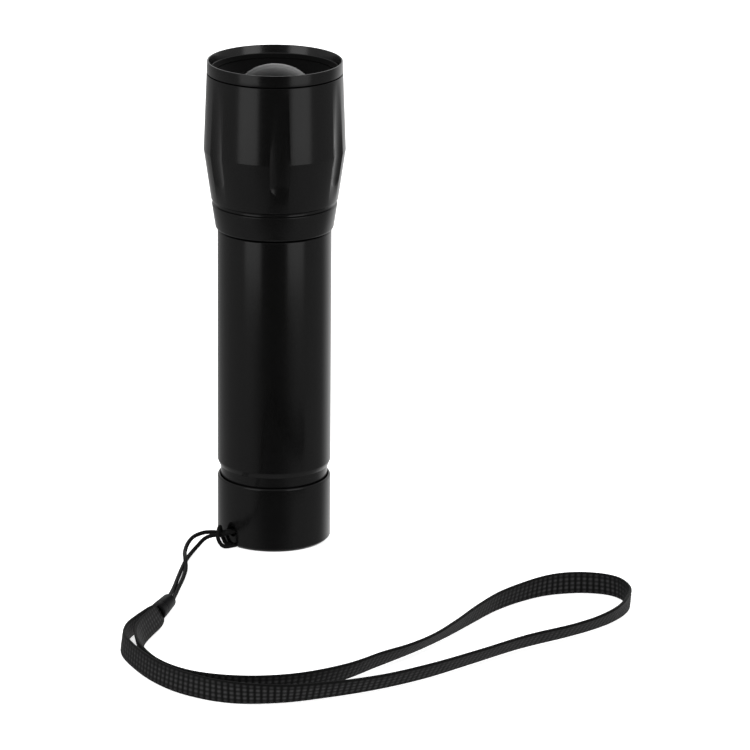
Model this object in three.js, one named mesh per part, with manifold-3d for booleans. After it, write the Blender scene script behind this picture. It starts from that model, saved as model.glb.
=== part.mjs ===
// A small aluminium torch with a push-pull focusing head, three AAA cells in a carrier,
// a tail push button and a wrist lanyard. Millimetres, +Z up, standing on its tail.
// Origin: centre of the standing ring. -Y is the front, +X the right-hand side.
import * as THREE from 'three';
import { mergeVertices } from 'three/addons/utils/BufferGeometryUtils.js';
import Module from 'manifold-3d';

const wasm = await Module();
wasm.setup();

// Driving dimensions
const TORCH_LENGTH = 117.2;
const BODY_R = 13.5;
const BORE_R = 11.45;
const GAP = 0.3;

const CAP_H = 15.8;
const CAP_EDGE = 0.7;
const RECESS_R = 11.2;
const RECESS_DEPTH = 5.4;
const WEB_T = 1.2;
const CAP_THREAD_R = 12.6;
const CAP_SEAL_R = 12.95;
const CAP_SEAL_Z = 13.2;
const BUTTON_HOLE_R = 5.2;

const CORD_HOLE_R = 1.3;
const CORD_HOLE_Z = 3.95;
const CORD_HOLE_ANGLE = THREE.MathUtils.degToRad(-46.6);
const CORD_NOTCH_W = 2.7;
const CORD_NOTCH_H = 1.2;

const NECK_BOTTOM = 9.7;
const NECK_THREAD_R = 12.3;
const NECK_R = 12.75;
const NECK_TOP = 18.3;
const SEAL_GROOVE_R = 11.9;
const SEAL_GROOVE_Z = 13.5;
const SEAL_GROOVE_W = 1.3;
const TUBE_CHAMFER = 1.3;

const HEAD_Z = 76.9;
const SHOULDER_Z = HEAD_Z - GAP;
const SLEEVE_R = 11.6;
const SLEEVE_BORE_R = 10.4;
const SLEEVE_TOP = 88;
const BORE_TOP = 74.6;

const HEAD_LIP_R = 11.75;
const HEAD_LIP_T = 2.6;
const HEAD_BORE_R = 12.85;
const HEAD_WAIST_Z = 83.35;
const HEAD_MAX_R = 16.76;
const HEAD_MAX_Z = 95.9;
const LENS_SEAT_Z = 105.2;
const LENS_SEAT_R = 13.5;
const BEZEL_THREAD_R = 14.4;
const BEZEL_H = 2.7;
const BEZEL_Z = TORCH_LENGTH - BEZEL_H;
const RIM_R = 15.93;
const RIM_WALL = 0.35;

const FLUTES = 6;
const FLUTE_FIRST = THREE.MathUtils.degToRad(4.5);
const FLUTE_CUTTER_R = 7;
// Where the ball cutter's centre goes as it mills a flute: height and distance from the axis.
const FLUTE_PATH = [
  { z: 90.06, r: 22.39 },
  { z: 95.25, r: 23.13 },
  { z: 112.07, r: 23.135 },
];

const LENS_SPHERE_R = 13;
const LENS_APEX_Z = TORCH_LENGTH - 1;
const LENS_BASE_Z = LENS_SEAT_Z + GAP;
const LENS_FLANGE_T = 4;

const CELLS = 3;
const CELL_R = 5.1;
const CELL_LENGTH = 44.5;
const CELL_CIRCLE_R = 5.95;
const CELL_Z = 25.6;
const CELL_SPRING_H = 1.2;
const CARRIER_R = 11.1;
const LINK_T = 0.4;
const BOTTOM_LINK_Z = 23.4;
const TOP_LINK_Z = 70.4;

const CORD_D = 1;
const STRAP_W = 5.3;
const STRAP_T = 0.9;
const FERRULE_LENGTH = 9.8;
const FERRULE_TOP = new THREE.Vector3(-23.6, -54, 2.2);
const FERRULE_AXIS = new THREE.Vector3(-0.285, -0.958, 0).normalize();

const SHELL_SEGMENTS = 40;
const INNER_SEGMENTS = 24;

const group = new THREE.Group();

const finishes = {
  anodised: { color: 0x17181a, metalness: 1, roughness: 0.35 },
  aluminium: { color: 0xb9bcc0, metalness: 1, roughness: 0.35 },
  brass: { color: 0xb59a5a, metalness: 1, roughness: 0.35 },
  spring: { color: 0xb8b4a4, metalness: 1, roughness: 0.3 },
  rubber: { color: 0x151515, metalness: 0, roughness: 0.7 },
  plastic: { color: 0x1b1b1c, metalness: 0, roughness: 0.5 },
  board: { color: 0x1d5a34, metalness: 0, roughness: 0.5 },
  ceramic: { color: 0xeae8df, metalness: 0, roughness: 0.4 },
  lens: { color: 0xe8edf0, metalness: 0, roughness: 0.05, transparent: true, opacity: 0.35 },
  cell: { color: 0x5f6670, metalness: 0.4, roughness: 0.35 },
  nylon: { color: 0x121213, metalness: 0, roughness: 0.85 },
};

// Merges shared vertices and drops the flat triangles a lathe leaves at its poles.
function closed(geometry) {
  const bare = geometry.clone();
  bare.deleteAttribute('normal');
  bare.deleteAttribute('uv');
  const merged = mergeVertices(bare, 1e-4);
  const source = merged.index.array;
  const kept = [];
  for (let i = 0; i < source.length; i += 3) {
    const [a, b, c] = source.slice(i, i + 3);
    if (a !== b && b !== c && c !== a) kept.push(a, b, c);
  }
  merged.setIndex(kept);
  return merged;
}

function toSolid(geometry) {
  const bare = closed(geometry);
  const vertProperties = new Float32Array(bare.attributes.position.array);
  const triVerts = new Uint32Array(bare.index.array);
  return new wasm.Manifold(new wasm.Mesh({ numProp: 3, vertProperties, triVerts }));
}

function toGeometry(solid) {
  const mesh = solid.getMesh();
  const geometry = new THREE.BufferGeometry();
  geometry.setAttribute('position', new THREE.BufferAttribute(new Float32Array(mesh.vertProperties), 3));
  geometry.setIndex([...mesh.triVerts]);
  geometry.computeVertexNormals();
  return geometry;
}

// Turns an outline of [radius, z] pairs about Z. The outline runs up the outer side.
function turned(outline, segments = SHELL_SEGMENTS) {
  const points = outline.map(([r, z]) => new THREE.Vector2(r, z));
  const lathe = new THREE.LatheGeometry(points, segments);
  lathe.rotateX(Math.PI / 2);
  return closed(lathe);
}

function ring(inner, outer, bottom, top, segments = INNER_SEGMENTS) {
  const outline = [[outer, bottom], [outer, top], [inner, top], [inner, bottom], [outer, bottom]];
  return turned(outline, segments);
}

function disc(radius, bottom, top, segments = INNER_SEGMENTS) {
  return turned([[0, bottom], [radius, bottom], [radius, top], [0, top]], segments);
}

function drilled(radius, length, segments = 16) {
  return new THREE.CylinderGeometry(radius, radius, length, segments);
}

function add(name, geometry, finish, parent = group) {
  const mesh = new THREE.Mesh(geometry, new THREE.MeshStandardMaterial(finishes[finish]));
  mesh.name = name;
  parent.add(mesh);
  return mesh;
}

// Compression spring: wire of radius wire on a helix whose radius runs from r0 to r1.
function spring(r0, r1, bottom, top, turns, wire, stepsPerTurn = 10) {
  const low = bottom + wire;
  const high = top - wire;
  class Helix extends THREE.Curve {
    getPoint(t, target = new THREE.Vector3()) {
      const angle = 2 * Math.PI * turns * t;
      const radius = r0 + (r1 - r0) * t;
      return target.set(radius * Math.cos(angle), radius * Math.sin(angle), low + (high - low) * t);
    }
  }
  const section = new THREE.Shape();
  section.absarc(0, 0, wire, 0, 2 * Math.PI, false);
  const steps = Math.round(turns * stepsPerTurn);
  return new THREE.ExtrudeGeometry(section, { steps, curveSegments: 6, extrudePath: new Helix() });
}

// Tail cap: recessed web for the push button, thread, seal bore, cord hole and cord notch.
function tailCap() {
  const webTop = RECESS_DEPTH + WEB_T;
  const body = toSolid(turned([
    [BODY_R - CAP_EDGE, 0],
    [BODY_R, CAP_EDGE],
    [BODY_R, CAP_H - 0.3],
    [BODY_R - 0.2, CAP_H],
    [CAP_SEAL_R, CAP_H],
    [CAP_SEAL_R, CAP_SEAL_Z],
    [CAP_THREAD_R, CAP_SEAL_Z - 0.3],
    [CAP_THREAD_R, webTop],
    [BUTTON_HOLE_R, webTop],
    [BUTTON_HOLE_R, RECESS_DEPTH],
    [RECESS_R, RECESS_DEPTH],
    [RECESS_R, 0.4],
    [RECESS_R + 0.4, 0],
    [BODY_R - CAP_EDGE, 0],
  ]));
  const hole = drilled(CORD_HOLE_R, 6);
  hole.translate(0, -BODY_R, 0);
  hole.rotateZ(CORD_HOLE_ANGLE);
  hole.translate(0, 0, CORD_HOLE_Z);
  const notch = new THREE.BoxGeometry(CORD_NOTCH_W, 6, 2 * CORD_NOTCH_H);
  notch.translate(0, -BODY_R, 0);
  notch.rotateZ(CORD_HOLE_ANGLE);
  return toGeometry(body.subtract(toSolid(hole)).subtract(toSolid(notch)));
}

function buttonBoot() {
  return turned([
    [0, 1.6],
    [2.6, 1.75],
    [4.1, 2.4],
    [4.8, 3.6],
    [4.8, 6.4],
    [3.9, 6.4],
    [3.9, 3.8],
    [3, 3.1],
    [0, 2.9],
  ], INNER_SEGMENTS);
}

function switchPlunger() {
  return turned([[0, 3.2], [2.9, 3.4], [2.9, 4.6], [2.1, 4.9], [2.1, 9.8], [0, 9.8]], 16);
}

function switchBody() {
  const block = new THREE.BoxGeometry(8.5, 8.5, 4.2);
  block.translate(0, 0, 10.3);
  const well = disc(2.5, 7, 11.7, 16);
  return toGeometry(toSolid(block).subtract(toSolid(well)));
}

// Barrel: threaded rear neck with a seal groove, long tube, and the sleeve the head slides on.
function barrelTube() {
  const grooveTop = SEAL_GROOVE_Z + SEAL_GROOVE_W;
  return turned([
    [NECK_THREAD_R, NECK_BOTTOM],
    [NECK_THREAD_R, SEAL_GROOVE_Z - 0.5],
    [NECK_R, SEAL_GROOVE_Z - 0.2],
    [NECK_R, SEAL_GROOVE_Z],
    [SEAL_GROOVE_R, SEAL_GROOVE_Z],
    [SEAL_GROOVE_R, grooveTop],
    [NECK_R, grooveTop],
    [NECK_R, NECK_TOP],
    [NECK_R + 0.2, NECK_TOP],
    [BODY_R, NECK_TOP + TUBE_CHAMFER],
    [BODY_R, SHOULDER_Z - 0.2],
    [BODY_R - 0.2, SHOULDER_Z],
    [SLEEVE_R, SHOULDER_Z],
    [SLEEVE_R, SLEEVE_TOP],
    [SLEEVE_BORE_R, SLEEVE_TOP],
    [SLEEVE_BORE_R, BORE_TOP + 0.5],
    [BORE_R, BORE_TOP],
    [BORE_R, NECK_BOTTOM],
    [NECK_THREAD_R, NECK_BOTTOM],
  ]);
}

// The space a ball cutter sweeps as it mills one flute in the front of the head.
function fluteCutters() {
  const balls = FLUTE_PATH.map(({ z, r }) => {
    return wasm.Manifold.sphere(FLUTE_CUTTER_R, 96).translate([0, -r, z]);
  });
  return [
    wasm.Manifold.hull([balls[0], balls[1]]),
    wasm.Manifold.hull([balls[1], balls[2]]),
  ];
}

// Head: a skirt, a waist groove, a cone to the widest ring and a long taper to the bezel.
function headShell() {
  const top = BEZEL_Z - GAP;
  const taper = (HEAD_MAX_R - RIM_R) / (TORCH_LENGTH - HEAD_MAX_Z);
  const shell = toSolid(turned([
    [13.8, HEAD_Z],
    [14, HEAD_Z + 0.3],
    [14.85, HEAD_WAIST_Z - 0.6],
    [14.35, HEAD_WAIST_Z - 0.35],
    [14.35, HEAD_WAIST_Z + 0.25],
    [15, HEAD_WAIST_Z + 0.6],
    [HEAD_MAX_R - 0.1, HEAD_MAX_Z - 0.6],
    [HEAD_MAX_R, HEAD_MAX_Z],
    [HEAD_MAX_R - taper * (top - HEAD_MAX_Z), top],
    [BEZEL_THREAD_R, top],
    [BEZEL_THREAD_R, LENS_SEAT_Z + 5.5],
    [LENS_SEAT_R, LENS_SEAT_Z + 5.5],
    [LENS_SEAT_R, LENS_SEAT_Z],
    [HEAD_BORE_R, LENS_SEAT_Z],
    [HEAD_BORE_R, HEAD_Z + HEAD_LIP_T],
    [HEAD_LIP_R, HEAD_Z + HEAD_LIP_T],
    [HEAD_LIP_R, HEAD_Z],
    [13.8, HEAD_Z],
  ]));
  const cutters = fluteCutters();
  let fluted = shell;
  for (let i = 0; i < FLUTES; i += 1) {
    const turn = THREE.MathUtils.radToDeg(FLUTE_FIRST) + (i * 360) / FLUTES;
    cutters.forEach((cutter) => {
      fluted = fluted.subtract(cutter.rotate([0, 0, turn]));
    });
  }
  return toGeometry(fluted);
}

// Bezel ring: thin lip, short inner wall, cone down to the lens opening, threaded skirt.
function bezelRing() {
  const skirt = BEZEL_THREAD_R - GAP;
  const bottom = LENS_SEAT_Z + 5.8;
  return turned([
    [skirt, bottom],
    [skirt, BEZEL_Z],
    [RIM_R + 0.1, BEZEL_Z],
    [RIM_R, TORCH_LENGTH],
    [RIM_R - RIM_WALL, TORCH_LENGTH],
    [RIM_R - RIM_WALL - 0.38, TORCH_LENGTH - 1.9],
    [11.6, bottom + 0.6],
    [11.6, bottom],
    [skirt, bottom],
  ]);
}

// Lens: flat back, cylindrical flange and a spherical dome.
function lens() {
  const centre = LENS_APEX_Z - LENS_SPHERE_R;
  const flangeTop = LENS_BASE_Z + LENS_FLANGE_T;
  const start = Math.asin((flangeTop - centre) / LENS_SPHERE_R);
  const outline = [[0, LENS_BASE_Z], [13.2, LENS_BASE_Z], [13.2, flangeTop]];
  const steps = 8;
  for (let i = 0; i < steps; i += 1) {
    const angle = start + ((Math.PI / 2 - start) * i) / steps;
    outline.push([LENS_SPHERE_R * Math.cos(angle), centre + LENS_SPHERE_R * Math.sin(angle)]);
  }
  outline.push([0, LENS_APEX_Z]);
  return turned(outline);
}

// Pill: the plug in the sleeve, the flange that stops the head, and the LED pedestal.
function ledPill() {
  return turned([
    [0, 92],
    [9, 92],
    [9, 77.5],
    [SLEEVE_BORE_R - GAP, 77.5],
    [SLEEVE_BORE_R - GAP, SLEEVE_TOP + GAP],
    [12.55, SLEEVE_TOP + GAP],
    [12.55, 89.6],
    [11.7, 89.6],
    [11.7, 91.2],
    [12.55, 91.2],
    [12.55, 92.6],
    [11.2, 94],
    [9.8, 94.4],
    [9.8, 100.5],
    [0, 100.5],
  ], SHELL_SEGMENTS);
}

function ledEmitter() {
  const base = new THREE.BoxGeometry(5, 5, 0.9);
  base.translate(0, 0, 103.05);
  const dome = turned([[0, 103.2], [1.4, 103.2], [1.4, 103.6], [1.2, 104.2], [0.7, 104.7], [0, 104.85]], 12);
  return toGeometry(toSolid(base).add(toSolid(dome)));
}

// Carrier frame: the lower disc and three bars that stand between the cells.
function carrierFrame() {
  let frame = toSolid(disc(CARRIER_R, 21.1, 23.1));
  const bar = new THREE.Shape();
  bar.moveTo(7.2, -1.2);
  bar.lineTo(10.6, -2.4);
  bar.lineTo(10.6, 2.4);
  bar.lineTo(7.2, 1.2);
  for (let i = 0; i < CELLS; i += 1) {
    const post = new THREE.ExtrudeGeometry(bar, { depth: 48, bevelEnabled: false });
    post.translate(0, 0, 22.6);
    post.rotateZ(Math.PI / 2 + (2 * i * Math.PI) / CELLS);
    frame = frame.add(toSolid(post));
  }
  return toGeometry(frame);
}

function cell() {
  const shoulder = CELL_LENGTH - 0.9;
  return turned([
    [0, 0],
    [CELL_R - 0.3, 0],
    [CELL_R, 0.3],
    [CELL_R, shoulder - 0.3],
    [CELL_R - 0.3, shoulder],
    [1.9, shoulder],
    [1.9, CELL_LENGTH],
    [0, CELL_LENGTH],
  ], 20);
}

function cellCentre(i) {
  const angle = -Math.PI / 2 + (2 * i * Math.PI) / CELLS;
  return [CELL_CIRCLE_R * Math.cos(angle), CELL_CIRCLE_R * Math.sin(angle)];
}

// A flat contact strip over the ends of two neighbouring cells, set outward of their centres.
function linkPlate(first, second, bottom) {
  const [x0, y0] = cellCentre(first);
  const [x1, y1] = cellCentre(second);
  const plate = new THREE.BoxGeometry(Math.hypot(x1 - x0, y1 - y0) + 4, 4, LINK_T);
  plate.translate(0, (CELL_CIRCLE_R / 2) + 1.2, bottom + LINK_T / 2);
  plate.rotateZ(Math.atan2(y0 + y1, x0 + x1) - Math.PI / 2);
  return plate;
}

// Top terminal: a button through the carrier cap, on a strip that reaches the first cell.
function topTerminal() {
  const strip = new THREE.BoxGeometry(4, 8, LINK_T);
  strip.translate(0, -4, TOP_LINK_Z + LINK_T / 2);
  const button = disc(1.9, TOP_LINK_Z, 73.6, 16);
  return toGeometry(toSolid(strip).add(toSolid(button)));
}

function path(points) {
  return new THREE.CatmullRomCurve3(points.map((p) => new THREE.Vector3(...p)), false, 'centripetal');
}

// An octagon whose flats are width and height apart.
function eightSided(width, height) {
  const section = new THREE.Shape();
  const toCorner = 1 / Math.cos(Math.PI / 8);
  for (let i = 0; i < 8; i += 1) {
    const angle = Math.PI / 8 + (i * Math.PI) / 4;
    const x = (width / 2) * toCorner * Math.cos(angle);
    const y = (height / 2) * toCorner * Math.sin(angle);
    if (i === 0) section.moveTo(x, y);
    else section.lineTo(x, y);
  }
  return section;
}

// The thin cord leaves the ferrule, passes through its own bight and the cord hole, turns
// under the rim as the bight of the hitch, and comes back the same way to the ferrule.
const CORD_ROUTE = [
  [-22.93, -53.84, 2.2], [-22.75, -48.5, 0.9], [-21.95, -41, 0.55], [-20.95, -33, 0.55],
  [-20.5, -27.5, 0.9], [-20.75, -22.9, 1.75], [-20.95, -17.2, 1.5], [-20.3, -12.6, 2.1],
  [-18.9, -9.4, 2.7], [-16.6, -7.8, 3.1], [-14.6, -7.8, 3.25], [-12.9, -8.1, 3.25],
  [-11.6, -8.5, 3.6], [-10.55, -8.95, 3.9], [-9.53, -8.26, 3.95], [-8.2, -7, 3.8],
  [-7.2, -6.05, 2.3], [-7.95, -6.75, 0.85], [-9.2, -7.95, 0.58], [-10.3, -8.95, 0.58],
  [-11.4, -8.4, 0.7], [-12.35, -7.2, 2.3], [-12.85, -8.4, 4.8], [-13.25, -10.5, 2.7],
  [-12, -10.8, 0.75], [-9.55, -9.8, 0.58], [-8.45, -8.75, 0.58], [-7.2, -7.6, 0.85],
  [-6.5, -6.85, 2.3], [-7.45, -7.8, 3.8], [-8.85, -9.15, 3.95], [-10.5, -10.05, 3.85],
  [-12.9, -9.25, 2.95], [-14.6, -8.9, 2.75], [-16.3, -9.7, 2.3], [-18.2, -12.6, 1.2],
  [-20.2, -18.6, 0.55], [-21.2, -25, 0.55], [-22.15, -33.2, 0.55],
  [-22.95, -41.5, 0.75], [-24.05, -53.5, 2.2],
];

// The strap stands on edge: out of the ferrule, round the loop, and back beside itself.
const STRAP_ROUTE = [
  [-27.3, -64.3], [-28.7, -67.6], [-30.9, -72.6], [-32.7, -78.2], [-33.2, -84],
  [-31.9, -89.8], [-25.7, -102.7], [-18.6, -110.8], [-8.2, -116.6], [2.5, -117.2],
  [13.3, -114], [24.2, -109], [35.1, -101.7], [46.2, -91.9], [57.2, -81.9],
  [68.5, -73.8], [74.5, -68.6], [78.9, -63.2], [81.8, -56.8], [82.6, -51.5],
  [80.9, -46], [78, -43.3], [73, -41.9], [68.2, -42.3], [63.3, -44.4],
  [57.7, -49], [52, -55.4], [46.4, -64.4], [41.1, -73.5], [35.8, -81.4],
  [30.2, -88.2], [24.4, -94.4], [16.5, -103], [5.6, -110.1], [-5.6, -112.4],
  [-16.5, -109.9], [-24.1, -103.1], [-28.7, -92], [-29.7, -80], [-25.9, -64.9],
];

function wristCord() {
  const section = eightSided(CORD_D, CORD_D);
  return new THREE.ExtrudeGeometry(section, { steps: 100, extrudePath: path(CORD_ROUTE) });
}

function wristStrap() {
  const section = eightSided(STRAP_W, STRAP_T);
  const route = STRAP_ROUTE.map(([x, y]) => [x, y, STRAP_W / 2 + 0.05]);
  return new THREE.ExtrudeGeometry(section, { steps: 56, extrudePath: path(route) });
}

// Ferrule: a tapered moulding that grips the cord's ends and the strap's ends.
function ferrule() {
  const outline = [
    [0, 0], [1.3, 0], [1.7, 0.5], [2.1, 7.4], [2.1, 9.4], [1.8, FERRULE_LENGTH], [0, FERRULE_LENGTH],
  ];
  return turned(outline, 12);
}

// Tail, fixed parts
add('tail_cap', tailCap(), 'anodised');
add('boot_flange', ring(5.1, 11.6, 6.9, 7.9), 'rubber');
add('boot_retaining_ring', ring(8, 12.3, 8.2, 9.4), 'brass');
add('switch_body', switchBody(), 'plastic');
add('switch_board', disc(7.6, 12.7, 13.9), 'board');
add('tail_spring', spring(4.6, 2.4, 14.2, 19.9, 4, 0.4), 'spring');

// Tail, moving button
add('button_boot', buttonBoot(), 'rubber');
add('switch_plunger', switchPlunger(), 'ceramic');

// Seal between the cap and the barrel
add('tail_oring', ring(12.05, 12.82, 13.65, 14.65, SHELL_SEGMENTS), 'rubber');

// Barrel and what it holds
add('barrel_tube', barrelTube(), 'anodised');
add('led_pill', ledPill(), 'aluminium');
add('driver_board', disc(8.7, 79, 80.2), 'board');
add('driver_spring', spring(2, 3.6, 73.9, 78.7, 3.5, 0.35), 'spring');
add('led_board', disc(8, 100.8, 102.3), 'aluminium');
add('led_emitter', ledEmitter(), 'ceramic');
add('led_retainer', ring(3.9, 8, 102.6, 103.6), 'plastic');
add('carrier_frame', carrierFrame(), 'plastic');
add('carrier_cap', ring(2.2, CARRIER_R, 71.1, 72.9), 'plastic');
add('carrier_top_terminal', topTerminal(), 'brass');
add('carrier_bottom_terminal', disc(4.5, 20.2, 20.8, 16), 'brass');
add('carrier_bottom_link', linkPlate(0, 1, BOTTOM_LINK_Z), 'spring');
add('carrier_top_link', linkPlate(1, 2, TOP_LINK_Z), 'spring');

// The cells stand in series, so the second one is upside down with its spring at the top.
const cellFoot = BOTTOM_LINK_Z + LINK_T + GAP;
for (let i = 0; i < CELLS; i += 1) {
  const inverted = i === 1;
  const place = new THREE.Group();
  place.position.set(...cellCentre(i), 0);
  group.add(place);
  const body = add(`cell_${i + 1}`, cell(), 'cell', place);
  body.position.z = inverted ? cellFoot + CELL_LENGTH : CELL_Z;
  body.rotation.x = inverted ? Math.PI : 0;
  const foot = inverted ? cellFoot + CELL_LENGTH + GAP : cellFoot;
  const coil = spring(3.2, 2.4, foot, foot + CELL_SPRING_H, 2, 0.25);
  add(`cell_spring_${i + 1}`, coil, 'spring', place);
}

// Focusing head
add('focus_oring', ring(11.85, 12.75, 89.9, 90.9, SHELL_SEGMENTS), 'rubber');
add('head_shell', headShell(), 'anodised');
add('bezel_ring', bezelRing(), 'anodised');
add('lens', lens(), 'lens');
add('lens_gasket', ring(11.9, 13.2, 109.8, 110.7, SHELL_SEGMENTS), 'rubber');

// Lanyard
add('wrist_cord', wristCord(), 'nylon');
const ferruleMesh = add('cord_ferrule', ferrule(), 'plastic');
ferruleMesh.position.copy(FERRULE_TOP);
ferruleMesh.quaternion.setFromUnitVectors(new THREE.Vector3(0, 0, 1), FERRULE_AXIS);
add('wrist_strap', wristStrap(), 'nylon');

export default group;
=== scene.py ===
import math

import bpy
import numpy as np
from mathutils import Matrix, Vector


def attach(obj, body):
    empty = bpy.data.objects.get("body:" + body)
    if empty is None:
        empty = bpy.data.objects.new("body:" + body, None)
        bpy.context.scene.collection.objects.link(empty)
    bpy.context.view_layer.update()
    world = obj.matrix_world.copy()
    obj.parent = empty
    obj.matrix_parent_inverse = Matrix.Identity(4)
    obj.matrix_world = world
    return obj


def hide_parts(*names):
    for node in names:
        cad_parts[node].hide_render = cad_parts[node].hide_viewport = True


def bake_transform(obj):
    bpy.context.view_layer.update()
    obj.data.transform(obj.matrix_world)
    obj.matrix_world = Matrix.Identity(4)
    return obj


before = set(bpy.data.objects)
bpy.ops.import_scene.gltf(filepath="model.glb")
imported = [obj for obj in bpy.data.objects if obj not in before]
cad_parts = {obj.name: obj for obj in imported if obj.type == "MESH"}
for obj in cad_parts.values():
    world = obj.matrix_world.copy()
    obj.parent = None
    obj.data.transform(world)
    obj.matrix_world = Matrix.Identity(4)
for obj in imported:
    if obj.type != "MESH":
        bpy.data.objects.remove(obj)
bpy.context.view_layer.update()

# A small black aluminium torch with a push-pull focusing head. It stands on its tail, and its
# wrist strap lies in a loop in front of it. Lengths are in millimetres until they reach a mesh.

MM = 0.001

# ---------------------------------------------------------------- sizes

TORCH_LENGTH = 117.2
BODY_R = 13.5
BEZEL_Z = 114.5
RIM_R = 15.93
HEAD_MAX_R = 16.76
HEAD_MAX_Z = 95.9

CORD_HOLE_R = 1.3
CORD_HOLE_Z = 3.95
CORD_HOLE_ANGLE = math.radians(-46.6)
CORD_NOTCH_W = 2.7
CORD_NOTCH_H = 1.2

FLUTES = 6
FLUTE_FIRST = math.radians(4.5)
FLUTE_CUTTER_R = 7
FLUTE_PATH = [(22.39, 90.06), (23.13, 95.25), (23.135, 112.07)]

LENS_SPHERE_R = 13.0
LENS_CENTRE_Z = 103.2

CORD_D = 1.0
STRAP_W = 5.3
STRAP_T = 0.9
FERRULE_TOP = (-23.6, -54.0, 2.2)
FERRULE_AXIS = Vector((-0.285, -0.958, 0.0)).normalized()

CHIP_HALF = 0.62
SLEEVE_Z = 25.7
BAND_Z = 58

SHELL_STEPS = 160
HEAD_STEPS = 240
SMALL_STEPS = 96
SMOOTH_ANGLE = math.radians(28)

# The bezel is dark inside up to here, and its lip is bright above.
BEZEL_INSIDE_R = 15.6
LIP_Z = 115.25

# ---------------------------------------------------------------- camera, floor and light

camera_data = bpy.data.cameras.new("camera")
camera_data.lens = 262.14
camera_data.sensor_width = 36
camera_data.clip_end = 20
camera = bpy.data.objects.new("camera", camera_data)
bpy.context.scene.collection.objects.link(camera)
CAMERA_PLACE = (0.010432, -1.244767, 0.419807)
CAMERA_YAW, CAMERA_PITCH, CAMERA_ROLL = 0.010899, 0.295946, 0.007861
camera.matrix_world = (
    Matrix.Translation(CAMERA_PLACE)
    @ Matrix.Rotation(-CAMERA_YAW, 4, "Z")
    @ Matrix.Rotation(math.pi / 2 - CAMERA_PITCH, 4, "X")
    @ Matrix.Rotation(CAMERA_ROLL, 4, "Z")
)
bpy.context.scene.camera = camera
bpy.context.scene.view_settings.view_transform = "Standard"

ROOM_STRENGTH = 1.2
TABLE_STRENGTH = 0.7
SOFTBOX = {"distance": 0.35, "width": 0.21, "low": 0.0, "high": 0.3, "strength": 0.85}
SOFTBOX_AZIMUTH = 43


def rgb(hex_colour):
    """An sRGB hex colour as linear red, green, blue and alpha."""
    parts = [int(hex_colour[i : i + 2], 16) / 255 for i in (1, 3, 5)]
    linear = [c / 12.92 if c <= 0.04045 else ((c + 0.055) / 1.055) ** 2.4 for c in parts]
    return (*linear, 1.0)


def connect(tree, node, inputs):
    """Fills a node's sockets. An input is a value, a socket to link, or a node whose first output
    is linked."""
    for name, value in inputs.items():
        if isinstance(value, bpy.types.Node):
            value = value.outputs[0]
        if isinstance(value, bpy.types.NodeSocket):
            tree.links.new(value, node.inputs[name])
        else:
            node.inputs[name].default_value = value


def add_node(tree, kind, settings=None, inputs=None):
    """Adds a node with these settings and inputs."""
    made = tree.nodes.new(kind)
    for name, value in (settings or {}).items():
        setattr(made, name, value)
    connect(tree, made, inputs or {})
    return made


def limits(low, high, start=0.3, end=0.7):
    """Inputs of a Map Range node that stretches a pattern's middle to run from low to high."""
    return {"From Min": start, "From Max": end, "To Min": low, "To Max": high}


def choose(obj):
    """Selects this object alone and makes it active."""
    if bpy.context.object and bpy.context.object.mode != "OBJECT":
        bpy.ops.object.mode_set(mode="OBJECT")
    bpy.ops.object.select_all(action="DESELECT")
    bpy.context.view_layer.objects.active = obj
    obj.select_set(True)
    return obj


def new_material(name, **sockets):
    """A material, its tree and its Principled shader. Underscores stand for spaces."""
    made = bpy.data.materials.new(name)
    made.use_nodes = True
    shader = made.node_tree.nodes["Principled BSDF"]
    for socket, value in sockets.items():
        shader.inputs[socket.replace("_", " ")].default_value = value
    return made, made.node_tree, shader


def light_the_room():
    """White all round to the eye and on matt surfaces. Gloss meets a darker room, light behind."""
    world = bpy.data.worlds.new("studio")
    bpy.context.scene.world = world
    world.use_nodes = True
    tree = world.node_tree
    tree.nodes.clear()
    ray = add_node(tree, "ShaderNodeLightPath").outputs
    way = add_node(tree, "ShaderNodeTexCoord").outputs["Generated"]
    axes = add_node(tree, "ShaderNodeSeparateXYZ", {}, {"Vector": way}).outputs
    # Each side: its axis, where its light starts and is full, and how bright it is at each.
    rows = {
        "front": ("Y", -1.0, -0.6, 0.04, 0.24),
        "rear": ("Y", 0.3, 0.9, 0.0, 0.7),
        "right": ("X", -0.6, 0.3, 0.1, 1.0),
        "above": ("Z", 0.35, 0.75, 0.0, 0.1),
    }
    glow = {}
    smooth = {"interpolation_type": "SMOOTHSTEP"}
    for side, (axis, low, high, start, end) in rows.items():
        inputs = {"Value": axes[axis], **limits(start, end, low, high)}
        glow[side] = add_node(tree, "ShaderNodeMapRange", smooth, inputs)
    behind = {0: glow["rear"], 1: glow["right"]}
    behind = add_node(tree, "ShaderNodeMath", {"operation": "MULTIPLY"}, behind)
    level = {0: glow["front"], 1: behind}
    level = {0: add_node(tree, "ShaderNodeMath", {"operation": "ADD"}, level), 1: glow["above"]}
    gloss = add_node(tree, "ShaderNodeMath", {"operation": "ADD"}, level)
    white = {"Color": rgb("#ffffff")}
    matt = add_node(tree, "ShaderNodeBackground", {}, {**white, "Strength": ROOM_STRENGTH})
    shine = add_node(tree, "ShaderNodeBackground", {}, {**white, "Strength": gloss})
    choice = {0: ray["Is Glossy Ray"], 1: matt, 2: shine}
    seen = add_node(tree, "ShaderNodeMixShader", {}, choice)
    add_node(tree, "ShaderNodeOutputWorld", {}, {"Surface": seen})


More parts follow.
